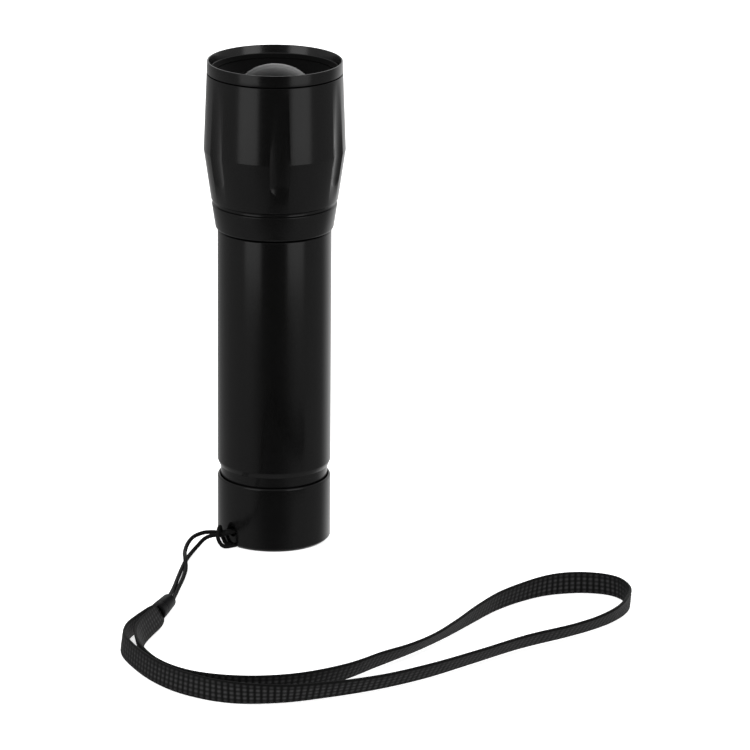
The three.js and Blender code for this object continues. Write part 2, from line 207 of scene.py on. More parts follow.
def softbox(name, azimuth, distance, width, low, high, strength):
    """An upright glowing panel that faces the torch, in metres. The azimuth is 0 in front and 90 on
    the right."""
    a = math.radians(azimuth)
    place = Vector((math.sin(a) * distance, -math.cos(a) * distance, (low + high) / 2))
    bpy.ops.object.select_all(action="DESELECT")
    bpy.ops.mesh.primitive_plane_add(size=1, location=place, rotation=(math.pi / 2, 0, a))
    panel = bpy.context.active_object
    panel.name = name
    panel.scale = (width, high - low, 1)
    glow, tree, shader = new_material(f"{name}_glow", Base_Color=rgb("#000000"))
    connect(tree, shader, {"Emission Color": rgb("#ffffff"), "Emission Strength": strength})
    panel.data.materials.append(glow)
    panel.visible_camera = False
    panel.visible_shadow = False
    panel.visible_diffuse = False
    panel.visible_transmission = False


def floor():
    """A pale lit table, bright enough to leave next to no shadow, and not mirrored in the torch."""
    bpy.ops.object.select_all(action="DESELECT")
    bpy.ops.mesh.primitive_plane_add(size=8, location=(0, 0, 0))
    table = bpy.context.active_object
    table.name = "floor"
    pale, tree, shader = new_material("pale_table", Base_Color=rgb("#f2f2f2"), Roughness=0.9)
    connect(tree, shader, {"Emission Color": rgb("#ffffff"), "Emission Strength": TABLE_STRENGTH})
    table.data.materials.append(pale)
    table.visible_glossy = False


light_the_room()
floor()
softbox("softbox_left", -SOFTBOX_AZIMUTH, **SOFTBOX)
softbox("softbox_right", SOFTBOX_AZIMUTH, **SOFTBOX)

# ---------------------------------------------------------------- cord and strap

# The thin cord leaves the ferrule, passes through its own bight and the cord hole, turns
# under the rim as the bight of the hitch, and comes back the same way to the ferrule.
CORD_ROUTE = [
    (-22.93, -53.84, 2.2), (-22.75, -48.5, 0.9), (-21.95, -41, 0.55), (-20.95, -33, 0.55),
    (-20.5, -27.5, 0.9), (-20.75, -22.9, 1.75), (-20.95, -17.2, 1.5), (-20.3, -12.6, 2.1),
    (-18.9, -9.4, 2.7), (-16.6, -7.8, 3.1), (-14.6, -7.8, 3.25), (-12.9, -8.1, 3.25),
    (-11.6, -8.5, 3.6), (-10.55, -8.95, 3.9), (-9.53, -8.26, 3.95), (-8.2, -7, 3.8),
    (-7.2, -6.05, 2.3), (-7.95, -6.75, 0.85), (-9.2, -7.95, 0.58), (-10.3, -8.95, 0.58),
    (-11.4, -8.4, 0.7), (-12.35, -7.2, 2.3), (-12.85, -8.4, 4.8), (-13.25, -10.5, 2.7),
    (-12, -10.8, 0.75), (-9.55, -9.8, 0.58), (-8.45, -8.75, 0.58), (-7.2, -7.6, 0.85),
    (-6.5, -6.85, 2.3), (-7.45, -7.8, 3.8), (-8.85, -9.15, 3.95), (-10.5, -10.05, 3.85),
    (-12.9, -9.25, 2.95), (-14.6, -8.9, 2.75), (-16.3, -9.7, 2.3), (-18.2, -12.6, 1.2),
    (-20.2, -18.6, 0.55), (-21.2, -25, 0.55), (-22.15, -33.2, 0.55), (-22.95, -41.5, 0.75),
    (-24.05, -53.5, 2.2),
]

# The strap's route: x, y, and how many degrees its top edge leans to the left of its path.
STRAP_ROUTE = [
    (-27.3, -64.3, 20), (-28.7, -67.6, 16), (-30.9, -72.6, 14), (-32.7, -78.2, 8),
    (-33.2, -84, 7), (-31.9, -89.8, 6), (-25.7, -102.7, 6), (-18.6, -110.8, 6),
    (-8.2, -116.6, -6), (2.5, -117.2, -22), (13.3, -114, -31), (24.2, -109, -35),
    (35.1, -101.7, -35), (46.2, -91.9, -38), (57.2, -81.9, -39), (68.5, -73.8, -40),
    (74.5, -68.6, -36), (78.9, -63.2, -27), (81.8, -56.8, -12), (82.6, -51.5, -2),
    (80.9, -46, 3), (78, -43.3, 5), (73, -41.9, 3), (68.2, -42.3, 2), (63.3, -44.4, 8),
    (57.7, -49, 14), (52, -55.4, 17), (46.4, -64.4, 22), (41.1, -73.5, 32), (35.8, -81.4, 40),
    (30.2, -88.2, 40), (24.4, -94.4, 33), (16.5, -103, 28), (5.6, -110.1, 20),
    (-5.6, -112.4, 12), (-16.5, -109.9, 6), (-24.1, -103.1, 3), (-28.7, -92, 10),
    (-29.7, -80, 20), (-25.9, -64.9, 30),
]

# Where the two ends of the strap run on into the ferrule.
STRAP_TAILS = [(-26.7, -61.6, 22), (-25.9, -62.2, 32)]


def smooth_route(points, step):
    """Points about a step apart on the centripetal Catmull-Rom curve through these."""
    known = [np.array(p, float) for p in points]
    ends = [2 * known[0] - known[1]] + known + [2 * known[-1] - known[-2]]
    fine = []
    for p0, p1, p2, p3 in zip(ends, ends[1:], ends[2:], ends[3:]):
        t1 = np.linalg.norm((p1 - p0)[:3]) ** 0.5
        t2 = t1 + np.linalg.norm((p2 - p1)[:3]) ** 0.5
        t3 = t2 + np.linalg.norm((p3 - p2)[:3]) ** 0.5
        count = max(2, int(np.linalg.norm((p2 - p1)[:3]) / step * 3))
        for k in range(count):
            t = t1 + (t2 - t1) * k / count
            a1 = (t1 - t) / t1 * p0 + t / t1 * p1
            a2 = (t2 - t) / (t2 - t1) * p1 + (t - t1) / (t2 - t1) * p2
            a3 = (t3 - t) / (t3 - t2) * p2 + (t - t2) / (t3 - t2) * p3
            b1 = (t2 - t) / t2 * a1 + t / t2 * a2
            b2 = (t3 - t) / (t3 - t1) * a2 + (t - t1) / (t3 - t1) * a3
            fine.append((t2 - t) / (t2 - t1) * b1 + (t - t1) / (t2 - t1) * b2)
    fine = np.array(fine + [known[-1]])
    gaps = np.linalg.norm(np.diff(fine[:, :3], axis=0), axis=1)
    along = np.concatenate([[0], np.cumsum(gaps)])
    even = np.linspace(0, along[-1], int(along[-1] / step) + 1)
    columns = [np.interp(even, along, column) for column in fine.T]
    return np.stack(columns, axis=1), even


def swept(name, rings, along, lift_shades):
    """A closed tube through rings of points. Its UV map runs in millimetres along it and from 0 to
    1 round it. A point attribute says how high the weave stands at each point, from 0 to 1; the
    yarn material reads it for painted shade in the hollows and a painted highlight on the crests."""
    count, sides = rings.shape[:2]
    points = [tuple(p * MM) for ring in rings for p in ring]
    faces = []
    for start in range(0, (count - 1) * sides, sides):
        for j in range(sides):
            k = (j + 1) % sides
            faces.append((start + j, start + k, start + sides + k, start + sides + j))
    faces.append(tuple(range(sides - 1, -1, -1)))
    faces.append(tuple(range((count - 1) * sides, count * sides)))
    mesh = bpy.data.meshes.new(name)
    mesh.from_pydata(points, [], faces)
    lift_shade = mesh.attributes.new("lift_shade", "FLOAT", "POINT")
    lift_shade.data.foreach_set("value", np.ravel(lift_shades).astype(np.float32))
    uv = mesh.uv_layers.new(name="run").data
    for face in mesh.polygons:
        for loop, vertex in zip(face.loop_indices, face.vertices):
            j = vertex % sides
            wraps = j == 0 and any(v % sides == sides - 1 for v in face.vertices)
            uv[loop].uv = (along[vertex // sides], 1.0 if wraps else j / sides)
    obj = bpy.data.objects.new(name, mesh)
    bpy.context.scene.collection.objects.link(obj)
    choose(obj)
    bpy.ops.object.mode_set(mode="EDIT")
    bpy.ops.mesh.select_all(action="SELECT")
    bpy.ops.mesh.normals_make_consistent(inside=False)
    bpy.ops.object.mode_set(mode="OBJECT")
    bpy.ops.object.shade_smooth()
    return obj


def directions(centres):
    """The unit direction of the path at each of its points."""
    steps = np.gradient(centres, axis=0)
    return steps / np.linalg.norm(steps, axis=1)[:, None]


def wrist_cord():
    """Round braided cord: eight carriers, which cross as low diamonds on its surface."""
    centres, along = smooth_route(CORD_ROUTE, 0.24)
    ahead = directions(centres)
    sides, carriers, pitch, relief = 20, 4, 3.4, 0.035
    side = np.cross(ahead[0], (0, 0, 1))
    rings, lift_shades = [], []
    for centre, way, run in zip(centres, ahead, along):
        side = side - way * side.dot(way)
        side /= np.linalg.norm(side)
        up = np.cross(way, side)
        turn = np.linspace(0, 2 * math.pi, sides, endpoint=False)
        phase = 2 * math.pi * run / pitch
        one_way, other_way = (np.cos(carriers * (turn + p)) for p in (phase, -phase))
        weave = np.maximum(one_way, other_way)
        radius = CORD_D / 2 - relief + relief * weave
        # Painted shade: the weave's height is kept so that the cord is coloured darker in the
        # hollows between carriers and lighter on their crests.
        lift_shades.append((weave + 1) / 2)
        across, upward = radius * np.cos(turn), radius * np.sin(turn)
        rings.append(centre + np.outer(across, side) + np.outer(upward, up))
    return swept("wrist_cord_braid", np.array(rings), along, lift_shades), centres, along[-1]


def strap_section():
    """Points round the strap: how far each is across its width, and from 1 to -1 through it."""
    flat, bend = STRAP_W / 2 - 0.3, 0.3
    across = np.linspace(-1, 1, 27) * flat
    front = [(w, 1.0) for w in across]
    turns = np.radians((30, 60, 90, 120, 150))
    edge = [(flat + bend * math.sin(a), math.cos(a)) for a in turns]
    back = [(w, -1.0) for w in across[::-1]]
    return front + edge + back + [(-w, -t) for w, t in edge]


def wrist_strap():
    """Flat woven tape: ribs across it, and small raised floats in rows along it. Its ends are
    gathered narrower where they run on into the ferrule."""
    row, float_length, relief, half = 1.06, 1.45, 0.11, STRAP_T / 2
    route = [STRAP_TAILS[0], *STRAP_ROUTE, STRAP_TAILS[1]]
    centres, along = smooth_route([(x, y, 0, lean) for x, y, lean in route], 0.29)
    lean = np.radians(centres[:, 3])
    centres = centres[:, :3]
    from_end = np.minimum(along, along[-1] - along)
    gather = 1 - 0.3 * np.clip(1 - from_end / 7, 0, 1) ** 2
    centres[:, 2] = 0.05 + STRAP_W / 2 * np.cos(lean) + half * np.abs(np.sin(lean))
    ahead = directions(centres * (1, 1, 0))
    section = strap_section()
    rings, lift_shades = [], []
    for centre, way, tilt, run, narrow in zip(centres, ahead, lean, along, gather):
        left = np.array((-way[1], way[0], 0))
        up = np.array((0, 0, 1)) * math.cos(tilt) + left * math.sin(tilt)
        out = np.cross(way, up)
        for w, side in section:
            face = max(0.0, 1 - (abs(w) / (STRAP_W / 2 - 0.2)) ** 6)
            rib = 0.5 + 0.5 * math.tanh(2.2 * math.cos(2 * math.pi * run / float_length))
            height = face * rib * (0.15 + 0.85 * math.cos(math.pi * w / row) ** 2)
            # Painted shade: the weave's height is kept so that the strap is coloured darker between
            # the floats and lighter on them; its edges, where the weave fades out, take the darkest
            # colour.
            lift_shades.append(height)
            rings.append(centre + up * w * narrow + out * side * (half - relief + relief * height))
    shape = (len(centres), len(section), 3)
    rings = np.array(rings).reshape(shape)
    return swept("wrist_strap_webbing", rings, along, lift_shades), centres, along[-1]


cord, cord_line, cord_length = wrist_cord()
strap, strap_line, strap_length = wrist_strap()

# ---------------------------------------------------------------- turned pieces


def eased(outline, radius, steps=3):
    """The outline with each of its corners rounded, as a deburred edge is."""
    closed = outline[0] == outline[-1]
    points = [Vector(p) for p in (outline[:-1] if closed else outline)]
    made = []
    for i, corner in enumerate(points):
        before, after = points[i - 1], points[(i + 1) % len(points)]
        if not closed and i in (0, len(points) - 1):
            made.append(corner)
            continue
        back, on = before - corner, after - corner
        reach = min(radius, 0.4 * back.length, 0.4 * on.length)
        start, end = corner + back.normalized() * reach, corner + on.normalized() * reach
        for k in range(steps + 1):
            t = k / steps
            made.append(start * (1 - t) ** 2 + corner * 2 * t * (1 - t) + end * t**2)
    return made + made[:1] if closed else made


def thread(radius, depth, bottom, top, pitch):
    """Outline points up a screw thread whose crests are at this radius."""
    turns = int((top - bottom) / pitch)
    points = []
    for i in range(turns):
        z = bottom + i * pitch
        points += [(radius, z), (radius, z + 0.2 * pitch)]
        points += [(radius - depth, z + 0.5 * pitch), (radius - depth, z + 0.7 * pitch)]
    return points


def turned(name, outline, steps=SHELL_STEPS, radius=0.15):
    """A piece turned about Z from an outline of (radius, height) points."""
    points = eased(outline, radius) if radius else [Vector(p) for p in outline]
    bpy.ops.object.select_all(action="DESELECT")
    bpy.ops.mesh.primitive_plane_add(size=MM, location=(0, 0, 0))
    obj = bpy.context.active_object
    obj.name = obj.data.name = name
    bpy.ops.object.mode_set(mode="EDIT")
    bpy.ops.mesh.select_all(action="SELECT")
    bpy.ops.mesh.merge(type="CENTER")
    bpy.ops.transform.translate(value=(points[0].x * MM, 0, points[0].y * MM))
    for here, there in zip(points, points[1:]):
        step = (there - here) * MM
        bpy.ops.mesh.extrude_region_move(TRANSFORM_OT_translate={"value": (step.x, 0, step.y)})
    bpy.ops.mesh.select_all(action="SELECT")
    bpy.ops.mesh.spin(steps=steps, angle=2 * math.pi, center=(0, 0, 0), axis=(0, 0, 1))
    bpy.ops.mesh.select_all(action="SELECT")
    bpy.ops.mesh.remove_doubles(threshold=2e-6)
    bpy.ops.mesh.normals_make_consistent(inside=False)
    bpy.ops.object.mode_set(mode="OBJECT")
    return obj


def cut(obj, cutters):
    """Takes these solids out of the piece and deletes them."""
    for cutter in cutters:
        choose(obj)
        taken = obj.modifiers.new("cut", "BOOLEAN")
        taken.operation = "DIFFERENCE"
        taken.solver = "EXACT"
        taken.object = cutter
        bpy.ops.object.modifier_apply(modifier=taken.name)
        bpy.data.objects.remove(cutter)
    return obj


def finished(obj, material, body, slot, *nodes):
    """Smooths a piece, gives it its material, and puts it on its body in place of its CAD nodes."""
    choose(obj)
    bpy.ops.object.shade_smooth_by_angle(angle=SMOOTH_ANGLE)
    obj.data.materials.clear()
    obj.data.materials.append(material)
    if body:
        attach(obj, body)
    if nodes:
        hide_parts(*nodes)
    return obj


def rod_cutter(radius, length, place, turn):
    """A rod in the shape of a hole that is to be cut."""
    bpy.ops.object.select_all(action="DESELECT")
    bpy.ops.mesh.primitive_cylinder_add(
        vertices=64, radius=radius * MM, depth=length * MM, location=Vector(place) * MM,
        rotation=turn,
    )
    return bpy.context.active_object


def milled(start, end):
    """What a ball cutter takes away as it runs straight from one place to another."""
    balls = []
    for place in (start, end):
        bpy.ops.object.select_all(action="DESELECT")
        bpy.ops.mesh.primitive_uv_sphere_add(
            segments=128, ring_count=64, radius=FLUTE_CUTTER_R * MM, location=Vector(place) * MM
        )
        balls.append(bpy.context.active_object)
    choose(balls[0])
    balls[1].select_set(True)
    bpy.ops.object.join()
    bpy.ops.object.mode_set(mode="EDIT")
    bpy.ops.mesh.select_all(action="SELECT")
    bpy.ops.mesh.convex_hull()
    bpy.ops.object.mode_set(mode="OBJECT")
    return bpy.context.active_object


def tail_cap():
    """Tail cap: recessed end with a web round the button, internal thread, cord hole and notch."""
    outline = [(12.8, 0), (13.5, 0.7), (13.5, 15.5), (13.3, 15.8), (12.95, 15.8)]
    outline += [(12.95, 13.2), (12.6, 12.9)]
    outline += reversed(thread(13.0, 0.4, 7.2, 12.6, 0.75))
    outline += [(12.6, 6.6), (5.2, 6.6), (5.2, 5.4), (11.2, 5.4), (11.2, 0.4), (11.6, 0)]
    outline += [(12.8, 0)]
    obj = turned("tail_cap_shell", outline)
    out = Vector((math.sin(CORD_HOLE_ANGLE), -math.cos(CORD_HOLE_ANGLE), 0))
    place = out * BODY_R
    across = (math.pi / 2, 0, CORD_HOLE_ANGLE)
    hole = rod_cutter(CORD_HOLE_R, 6, place + Vector((0, 0, CORD_HOLE_Z)), across)
    bpy.ops.object.select_all(action="DESELECT")
    bpy.ops.mesh.primitive_cube_add(size=1, location=place * MM, rotation=(0, 0, CORD_HOLE_ANGLE))
    notch = bpy.context.active_object
    notch.scale = Vector((CORD_NOTCH_W, 6, 2 * CORD_NOTCH_H)) * MM
    return cut(obj, [hole, notch])


def barrel_tube():
    """Barrel: external tail thread, seal groove, neck, and the sleeve that the head slides on."""
    outline = [(12.3, 9.7)] + thread(12.3, 0.35, 9.95, 12.95, 0.75)
    outline += [
        (12.3, 13), (12.75, 13.3), (12.75, 13.5), (11.9, 13.5), (11.9, 14.8), (12.75, 14.8),
        (12.75, 18.3), (12.95, 18.3), (13.5, 19.6), (13.5, 76.3), (13.2, 76.6), (11.6, 76.6),
        (11.6, 88), (10.4, 88), (10.4, 75.1), (11.45, 74.6), (11.45, 9.7), (12.3, 9.7),
    ]
    return turned("barrel_shell", outline)


def head_shell():
    """Head: skirt, waist groove, cone to the widest ring, long taper to the bezel, and flutes."""
    top = BEZEL_Z - 0.3
    taper = (HEAD_MAX_R - RIM_R) / (TORCH_LENGTH - HEAD_MAX_Z)
    outline = [
        (13.8, 76.9), (14, 77.2), (14.85, 82.75), (14.35, 83), (14.35, 83.6), (15, 83.95),
        (16.66, 95.3), (16.76, 95.9), (HEAD_MAX_R - taper * (top - HEAD_MAX_Z), top), (14.4, top),
        (14.4, 110.7), (13.5, 110.7), (13.5, 105.2), (12.85, 105.2), (12.85, 79.5), (11.75, 79.5),
        (11.75, 76.9), (13.8, 76.9),
    ]
    obj = turned("head_shell_fluted", outline, HEAD_STEPS)
    cutters = []
    for i in range(FLUTES):
        angle = FLUTE_FIRST + i * 2 * math.pi / FLUTES
        balls = [(math.sin(angle) * r, -math.cos(angle) * r, z) for r, z in FLUTE_PATH]
        cutters += [milled(balls[0], balls[1]), milled(balls[1], balls[2])]
    return cut(obj, cutters)


def bezel_ring():
    """Bezel: a thin flared lip, a dark cone down to the lens opening, and a plain skirt."""
    return turned("bezel_ring_turned", [
        (14.1, 111), (14.1, 114.5), (16.03, 114.5), (15.93, 117.2), (15.58, 117.2), (15.2, 115.3),
        (11.6, 111.6), (11.6, 111), (14.1, 111),
    ], radius=0.1)


def lens():
    """Moulded acrylic: flat back, a flange, and a spherical front."""
    flange = 109.5
    start = math.asin((flange - LENS_CENTRE_Z) / LENS_SPHERE_R)
    outline = [(0, 105.5), (13.0, 105.5), (13.2, 105.7), (13.2, flange - 0.2), (13.0, flange)]
    for angle in np.linspace(start, math.pi / 2, 40)[:-1]:
        rise = LENS_SPHERE_R * math.sin(angle)
        outline.append((LENS_SPHERE_R * math.cos(angle), LENS_CENTRE_Z + rise))
    outline.append((0, LENS_CENTRE_Z + LENS_SPHERE_R))
    return turned("lens_moulded", outline, 128, radius=0)


def tail_boot():
    """Rubber boot: a domed button, a thin wall with a crease at its middle, and a clamped flange.
    """
    return turned("tail_boot_rubber", [
        (0, 1.6), (1.4, 1.62), (2.6, 1.75), (3.5, 2.05), (4.1, 2.4), (4.6, 3), (4.8, 3.6),
        (4.8, 4.6), (4.62, 5.2), (4.8, 5.8), (4.8, 6.4), (4.95, 6.9), (11.6, 6.9), (11.6, 7.9),
        (4.6, 7.9), (3.9, 6.4), (3.9, 3.8), (3, 3.1), (0, 2.9),
    ], SMALL_STEPS, radius=0.2)


def oring(name, inner, outer, bottom, top):
    """An O-ring of round section, a little flattened in its groove."""
    middle, rise = (inner + outer) / 2, (top + bottom) / 2
    outline = [
        (middle + (outer - inner) / 2 * math.cos(a), rise + (top - bottom) / 2 * math.sin(a))
        for a in np.linspace(-math.pi, math.pi, 25)
    ]
    outline[-1] = outline[0]
    return turned(name, outline, radius=0)


def ferrule():
    """Moulded ferrule: tapered, with a waist line where its halves close on the strap's ends."""
    obj = turned("cord_ferrule_moulded", [
        (0, 0.5), (0.75, 0.5), (0.8, 0.02), (1.3, 0), (1.7, 0.5), (2.02, 6.6), (1.97, 6.75),
        (2.03, 6.9), (2.1, 9.4), (1.8, 9.8), (1.5, 9.3), (0, 9.2),
    ], 48, radius=0.25)
    obj.location = Vector(FERRULE_TOP) * MM
    obj.rotation_mode = "QUATERNION"
    obj.rotation_quaternion = Vector((0, 0, 1)).rotation_difference(FERRULE_AXIS)
    choose(obj)
    bpy.ops.object.transform_apply(location=True, rotation=True, scale=True)
    return obj


def led_package():
    """The LED: a square ceramic base with a soft clear dome over its yellow chip."""
    bpy.ops.object.select_all(action="DESELECT")
    bpy.ops.mesh.primitive_cube_add(size=1, location=(0, 0, 103.05 * MM))
    base = bpy.context.active_object
    base.name = base.data.name = "led_package_base"
    base.scale = Vector((5, 5, 0.9)) * MM
    bpy.ops.object.transform_apply(location=True, rotation=True, scale=True)
    bpy.ops.object.mode_set(mode="EDIT")
    bpy.ops.mesh.bevel(offset=0.15 * MM, segments=2)
    bpy.ops.object.mode_set(mode="OBJECT")
    dome = turned("led_package_dome", [
        (0, 103.52), (1.6, 103.52), (1.58, 103.9), (1.4, 104.3), (1.05, 104.62), (0.6, 104.8),
        (0, 104.85),
    ], 48, radius=0.15)
    return base, dome


def led_board():
    """Aluminium-cored board with a white mask: a disc with six screw slots round its edge."""
    outline = [(8, 100.8), (8, 102.3), (0, 102.3), (0, 100.8), (8, 100.8)]
    obj = turned("led_board_masked", outline, SMALL_STEPS, radius=0.1)
    cutters = []
    for i in range(6):
        angle = math.radians(30 + 60 * i)
        place = (8.1 * math.cos(angle), 8.1 * math.sin(angle), 101.5)
        cutters.append(rod_cutter(0.9, 4, place, (0, 0, 0)))
    return cut(obj, cutters)


# ---------------------------------------------------------------- materials

EVEN = (1, 1, 1)
COLOUR = {"data_type": "RGBA"}


def speckles(tree, *rows):
    """Soft random patterns on Object coordinates. A row is a pattern's size in millimetres, its
    detail, and how far it is squeezed along each axis."""
    place = add_node(tree, "ShaderNodeTexCoord").outputs["Object"]
    patterns = []
    for size, detail, squeeze in rows:
        squeezed = add_node(tree, "ShaderNodeMapping", {}, {"Vector": place, "Scale": squeeze})
        inputs = {"Vector": squeezed, "Scale": 1 / (size * MM), "Detail": detail, "Roughness": 0.6}
        patterns.append(add_node(tree, "ShaderNodeTexNoise", {}, inputs))
    return patterns


def dress(tree, shader, shade=None, colours=None, skin=None, rough=None, marks=None, depth=0.0):
    """Gives a shader its colour from a shade pattern, its roughness from a skin pattern, and its
    relief, so many millimetres deep, from a pattern of marks."""
    if shade:
        pair = {"Factor": shade, 6: rgb(colours[0]), 7: rgb(colours[1])}
        colour = add_node(tree, "ShaderNodeMix", COLOUR, pair).outputs[2]
        connect(tree, shader, {"Base Color": colour})
    if skin:
        wear = add_node(tree, "ShaderNodeMapRange", {}, {"Value": skin, **limits(*rough)})
        connect(tree, shader, {"Roughness": wear})
    if marks:
        inputs = {"Height": marks, "Distance": depth * MM, "Strength": 1.0}
        connect(tree, shader, {"Normal": add_node(tree, "ShaderNodeBump", {}, inputs)})


def black_anodised(name, specular):
    """Turned aluminium, bead-blasted fine and dyed black: a dark glassy oxide over faint lathe
    rings, so highlights are long, soft-edged and very slightly mottled. More of the metal shows
    through where the tool left it bright, and there the specular level is higher."""
    made, tree, shader = new_material(name, IOR=1.5, Specular_IOR_Level=specular)
    patches, *fine = speckles(tree, (7, 3, EVEN), (0.35, 3, EVEN), (0.09, 2, (0.02, 0.02, 1)))
    inputs = [{"Value": pattern, **limits(0, 0.5)} for pattern in fine]
    halves = [add_node(tree, "ShaderNodeMapRange", {}, half) for half in inputs]
    both = add_node(tree, "ShaderNodeMath", {"operation": "ADD"}, dict(enumerate(halves)))
    dress(tree, shader, patches, ("#030303", "#060606"), both, (0.15, 0.24, 0.1, 0.9), both, 0.0015)
    return made


def matt_anodised():
    """The bezel's inner cone: bead-blasted before it was dyed, so it swallows the LED's light."""
    made, tree, shader = new_material("matt_black_anodised_aluminium", Specular_IOR_Level=0.12)
    blast = speckles(tree, (0.1, 3, EVEN))[0]
    dress(tree, shader, blast, ("#020202", "#060606"), blast, (0.5, 0.7), blast, 0.01)
    return made


def plain_aluminium():
    """Bare turned aluminium: bright grey with fine rings and a dull film."""
    made, tree, shader = new_material("turned_aluminium", Metallic=1.0)
    rings, film = speckles(tree, (0.15, 2, (0.03, 0.03, 1)), (2, 3, EVEN))
    dress(tree, shader, film, ("#aeb1b5", "#c9cbce"), rings, (0.25, 0.45), rings, 0.004)
    return made


def turned_brass():
    """Stamped and tumbled brass: warm yellow, browner where it has been handled."""
    made, tree, shader = new_material("stamped_brass", Metallic=1.0)
    film, scratches = speckles(tree, (1.5, 3, EVEN), (0.2, 3, EVEN))
    handled = add_node(tree, "ShaderNodeMapRange", {}, {"Value": film, **limits(0, 1)})
    dress(tree, shader, handled, ("#8f6d34", "#c7a560"), film, (0.42, 0.24), scratches, 0.003)
    return made


def spring_steel():
    """Nickel-plated spring wire: bright, with drawing marks."""
    made, tree, shader = new_material("plated_spring_wire", Metallic=1.0)
    drawn = speckles(tree, (0.12, 3, EVEN))[0]
    dress(tree, shader, drawn, ("#a8a596", "#d2cfc3"), drawn, (0.18, 0.34))
    return made


def black_rubber():
    """Moulded nitrile rubber: dull black with a fine spark-eroded grain and a dusty bloom."""
    sheen = {"Sheen_Weight": 0.15, "Sheen_Roughness": 0.4}
    made, tree, shader = new_material("moulded_rubber", IOR=1.5, **sheen)
    skin, bloom = speckles(tree, (0.18, 3, EVEN), (2.5, 3, EVEN))
    dusty = add_node(tree, "ShaderNodeMapRange", {}, {"Value": bloom, **limits(0, 1)})
    dress(tree, shader, dusty, ("#0f0f10", "#1b1b1c"), skin, (0.58, 0.78), skin, 0.02)
    return made


def black_plastic(name, gloss, depth, specular=0.5):
    """Moulded plastic: an even black with a light tool grain and soft highlights."""
    made, tree, shader = new_material(name, IOR=1.5, Specular_IOR_Level=specular)
    skin, flow = speckles(tree, (0.15, 3, EVEN), (3, 3, EVEN))
    rough = (gloss - 0.06, gloss + 0.08)
    dress(tree, shader, flow, ("#0a0a0b", "#121213"), skin, rough, skin, depth)
    return made


def circuit_board():
    """Glass-epoxy board: green mask over copper tracks, which stand out paler and raised."""
    made, tree, shader = new_material("solder_masked_board", IOR=1.5)
    place = add_node(tree, "ShaderNodeTexCoord").outputs["Object"]
    spacing = {"Vector": place, "Scale": 1 / (2.2 * MM)}
    tracks = add_node(tree, "ShaderNodeTexVoronoi", {"feature": "DISTANCE_TO_EDGE"}, spacing)
    edge = {"Value": tracks.outputs["Distance"], **limits(1, 0, 0.1, 0.16)}
    copper = add_node(tree, "ShaderNodeMapRange", {}, edge)
    skin = speckles(tree, (0.5, 3, EVEN))[0]
    dress(tree, shader, copper, ("#123d22", "#2a6b3b"), skin, (0.28, 0.42), copper, 0.03)
    return made


def white_mask():
    """White solder mask on the LED's board: slightly glossy, with a faint orange peel."""
    made, tree, shader = new_material("white_solder_mask", IOR=1.5)
    peel = speckles(tree, (0.6, 3, EVEN))[0]
    dress(tree, shader, peel, ("#dcdcd4", "#efeee6"), peel, (0.28, 0.42), peel, 0.006)
    return made


def white_plastic():
    """Moulded white nylon: milky and matt."""
    made, tree, shader = new_material("moulded_white_nylon", IOR=1.53)
    flow, skin = speckles(tree, (1.2, 3, EVEN), (0.2, 3, EVEN))
    dress(tree, shader, flow, ("#dedbd0", "#ebe9e0"), flow, (0.38, 0.52), skin, 0.004)
    return made


def led_phosphor():
    """Silicone dome over phosphor: yellow in the middle where the chip is, white outside."""
    made, tree, shader = new_material("phosphor_silicone", IOR=1.41)
    place = add_node(tree, "ShaderNodeTexCoord").outputs["Object"]
    axes = add_node(tree, "ShaderNodeSeparateXYZ", {}, {"Vector": place}).outputs
    wide = [add_node(tree, "ShaderNodeMath", {"operation": "ABSOLUTE"}, {0: axes[k]}) for k in "XY"]
    widest = add_node(tree, "ShaderNodeMath", {"operation": "MAXIMUM"}, dict(enumerate(wide)))
    edge = {"Value": widest, **limits(1, 0, CHIP_HALF * MM, (CHIP_HALF + 0.13) * MM)}
    chip = add_node(tree, "ShaderNodeMapRange", {}, edge)
    skin = speckles(tree, (0.3, 3, EVEN))[0]
    dress(tree, shader, chip, ("#d9d8cc", "#e3c948"), skin, (0.1, 0.2))
    return made


def lens_acrylic():
    """Moulded acrylic: clear and glossy, with the faint ripple of its mould."""
    clear = {"Roughness": 0.02, "Transmission_Weight": 1.0}
    made, tree, shader = new_material("moulded_acrylic", IOR=1.49, **clear)
    ripple = speckles(tree, (4, 1, EVEN))[0]
    dress(tree, shader, ripple, ("#eef2f3", "#ffffff"), marks=ripple, depth=0.002)
    return made


def cell_jacket():
    """Shrink-wrapped cell: dark foil sleeve with a paler band round it, and a bare steel end."""
    made, tree, shader = new_material("shrink_sleeve_and_steel", IOR=1.5)
    place = add_node(tree, "ShaderNodeTexCoord").outputs["Object"]
    height = add_node(tree, "ShaderNodeSeparateXYZ", {}, {"Vector": place}).outputs["Z"]
    upper = {"Value": height, **limits(0, 1, BAND_Z * MM, (BAND_Z + 0.1) * MM)}
    lower = {"Value": height, **limits(1, 0, SLEEVE_Z * MM, (SLEEVE_Z + 0.1) * MM)}
    band, bare = (add_node(tree, "ShaderNodeMapRange", {}, ends) for ends in (upper, lower))
    foil = {"Factor": band, 6: rgb("#2c3138"), 7: rgb("#a8793c")}
    sleeve = add_node(tree, "ShaderNodeMix", COLOUR, foil).outputs[2]
    steel_end = {"Factor": bare, 6: sleeve, 7: rgb("#b9bbbd")}
    metal = add_node(tree, "ShaderNodeMath", {"operation": "MAXIMUM"}, {0: bare, 1: 0.35})
    colour = add_node(tree, "ShaderNodeMix", COLOUR, steel_end).outputs[2]
    connect(tree, shader, {"Base Color": colour, "Metallic": metal})
    wrinkle = speckles(tree, (1.5, 3, (1, 1, 0.3)))[0]
    dress(tree, shader, skin=wrinkle, rough=(0.22, 0.4), marks=wrinkle, depth=0.01)
    return made


